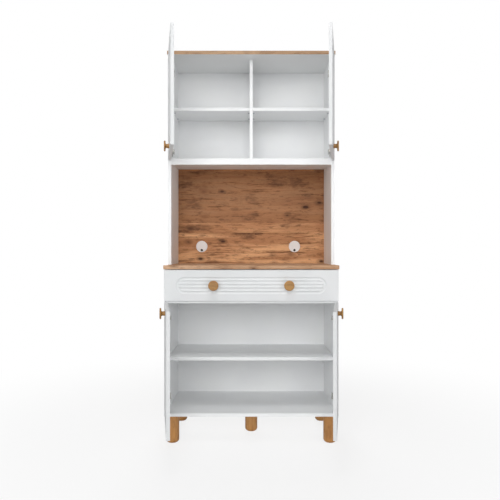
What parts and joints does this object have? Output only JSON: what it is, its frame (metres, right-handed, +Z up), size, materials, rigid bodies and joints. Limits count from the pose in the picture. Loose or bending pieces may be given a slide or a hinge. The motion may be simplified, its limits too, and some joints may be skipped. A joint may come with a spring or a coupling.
{
  "type": "kitchen cabinet",
  "caption": "Tall white kitchen cabinet: base with a fluted drawer over two doors on round wooden legs, open wooden niche, and an upper part with two doors and shelves.",
  "frame": {"origin": "on the floor under the middle of the base, in the middle of the centre leg's foot", "axes": "+X to the right seen from the front, the fronts face -Y, +Z up"},
  "size_m": [0.804, 0.7782, 1.84],
  "materials": {
    "white_board": "white melamine on particle board",
    "white_front": "white satin foil on routed fibre board",
    "white_back": "white lacquered hardboard, raw brown behind",
    "countertop_wood": "matt wood grain along the width",
    "top_wood": "matt wood grain along the width, white underside",
    "niche_wood": "matt rustic wood grain with knots, raw brown hardboard behind",
    "leg_wood": "clear satin lacquer on turned wood",
    "knob_wood": "clear satin lacquer on turned wood",
    "hinge_steel": "nickel-plated pressed steel",
    "zinc_steel": "zinc-plated steel",
    "runner_steel": "white powder coat on sheet steel",
    "roller_plastic": "moulded nylon",
    "dowel_wood": "raw beech",
    "outlet_plastic": "moulded white plastic"
  },
  "bodies": {
    "carcass": {"base_side_left": "white_board", "base_side_right": "white_board", "bottom_panel": "white_board", "base_shelf": "white_board", "front_rail": "white_board", "upper_side_left": "white_board", "upper_side_right": "white_board", "upper_divider": "white_board", "upper_shelf_left": "white_board", "upper_shelf_right": "white_board", "niche_ceiling": "white_board", "upper_front_rail": "white_board", "base_back": "white_back", "countertop": "countertop_wood", "leg_front_left": "leg_wood", "leg_front_right": "leg_wood", "leg_rear_left": "leg_wood", "leg_rear_right": "leg_wood", "leg_centre": "leg_wood", "leg_bolts": "zinc_steel", "top_panel": "top_wood", "upper_back": "white_back", "niche_back": "niche_wood", "shelf_pins": "zinc_steel", "wood_dowels": "dowel_wood", "outlet_rims": "outlet_plastic", "drawer_channels": "runner_steel", "hinge_plates": "hinge_steel", "hinge_arms": "hinge_steel"},
    "drawer": {"drawer_front": "white_front", "drawer_side_left": "white_board", "drawer_side_right": "white_board", "drawer_back": "white_board", "drawer_bottom": "white_back", "drawer_dowels": "dowel_wood", "drawer_knob_left": "knob_wood", "drawer_knob_right": "knob_wood", "drawer_runners": "runner_steel"},
    "front_rollers": {"front_rollers": "roller_plastic"},
    "rear_rollers": {"rear_rollers": "roller_plastic"},
    "left_outlet_cap": {"outlet_cap_left": "outlet_plastic"},
    "right_outlet_cap": {"outlet_cap_right": "outlet_plastic"},
    "upper_left_door": {"upper_left_door": "white_front", "upper_left_knob": "knob_wood", "upper_left_cups": "hinge_steel"},
    "upper_left_links": {"upper_left_links": "hinge_steel"},
    "upper_right_door": {"upper_right_door": "white_front", "upper_right_knob": "knob_wood", "upper_right_cups": "hinge_steel"},
    "upper_right_links": {"upper_right_links": "hinge_steel"},
    "lower_left_door": {"lower_left_door": "white_front", "lower_left_knob": "knob_wood", "lower_left_cups": "hinge_steel"},
    "lower_left_links": {"lower_left_links": "hinge_steel"},
    "lower_right_door": {"lower_right_door": "white_front", "lower_right_knob": "knob_wood", "lower_right_cups": "hinge_steel"},
    "lower_right_links": {"lower_right_links": "hinge_steel"}
  },
  "joints": [
    {"name": "upper_left_hinges", "type": "hinge", "parent": "carcass", "child": "upper_left_door", "pos_m": [-0.394, -0.078, 1.57], "axis": [0, 0, -1], "range_deg": [-80, 15]},
    {"name": "upper_left_link_pins", "type": "hinge", "parent": "carcass", "child": "upper_left_links", "pos_m": [-0.372, -0.074, 1.57], "axis": [0, 0, -1], "range_deg": [-6.5, 32]},
    {"name": "upper_right_hinges", "type": "hinge", "parent": "carcass", "child": "upper_right_door", "pos_m": [0.394, -0.078, 1.57], "axis": [0, 0, 1], "range_deg": [-80, 15]},
    {"name": "upper_right_link_pins", "type": "hinge", "parent": "carcass", "child": "upper_right_links", "pos_m": [0.372, -0.074, 1.57], "axis": [0, 0, 1], "range_deg": [-6.5, 32]},
    {"name": "lower_left_hinges", "type": "hinge", "parent": "carcass", "child": "lower_left_door", "pos_m": [-0.394, -0.193, 0.4], "axis": [0, 0, -1], "range_deg": [-80, 15]},
    {"name": "lower_left_link_pins", "type": "hinge", "parent": "carcass", "child": "lower_left_links", "pos_m": [-0.372, -0.189, 0.4], "axis": [0, 0, -1], "range_deg": [-6.5, 32]},
    {"name": "lower_right_hinges", "type": "hinge", "parent": "carcass", "child": "lower_right_door", "pos_m": [0.394, -0.193, 0.4], "axis": [0, 0, 1], "range_deg": [-80, 15]},
    {"name": "lower_right_link_pins", "type": "hinge", "parent": "carcass", "child": "lower_right_links", "pos_m": [0.372, -0.189, 0.4], "axis": [0, 0, 1], "range_deg": [-6.5, 32]},
    {"name": "drawer_slide", "type": "slide", "parent": "carcass", "child": "drawer", "axis": [0, -1, 0], "range_m": [0, 0.26]},
    {"name": "front_roller_spin", "type": "hinge", "parent": "carcass", "child": "front_rollers", "pos_m": [0, -0.167, 0.6753], "axis": [1, 0, 0], "range_deg": [-5, 1451]},
    {"name": "rear_roller_spin", "type": "hinge", "parent": "drawer", "child": "rear_rollers", "pos_m": [0, 0.155, 0.6753], "axis": [1, 0, 0], "range_deg": [-5, 1451]},
    {"name": "left_cap_turn", "type": "hinge", "parent": "carcass", "child": "left_outlet_cap", "pos_m": [-0.261, 0.195, 0.9065], "axis": [0, -1, 0], "continuous": true},
    {"name": "right_cap_turn", "type": "hinge", "parent": "carcass", "child": "right_outlet_cap", "pos_m": [0.229, 0.195, 0.9065], "axis": [0, -1, 0], "continuous": true}
  ],
  "couplings": [
    {"joint": "upper_left_link_pins", "follows": "upper_left_hinges", "ratio": -0.394},
    {"joint": "upper_right_link_pins", "follows": "upper_right_hinges", "ratio": -0.394},
    {"joint": "lower_left_link_pins", "follows": "lower_left_hinges", "ratio": -0.394},
    {"joint": "lower_right_link_pins", "follows": "lower_right_hinges", "ratio": -0.394},
    {"joint": "front_roller_spin", "follows": "drawer_slide", "rad_per_m": 97.087},
    {"joint": "rear_roller_spin", "follows": "drawer_slide", "rad_per_m": 97.087}
  ]
}
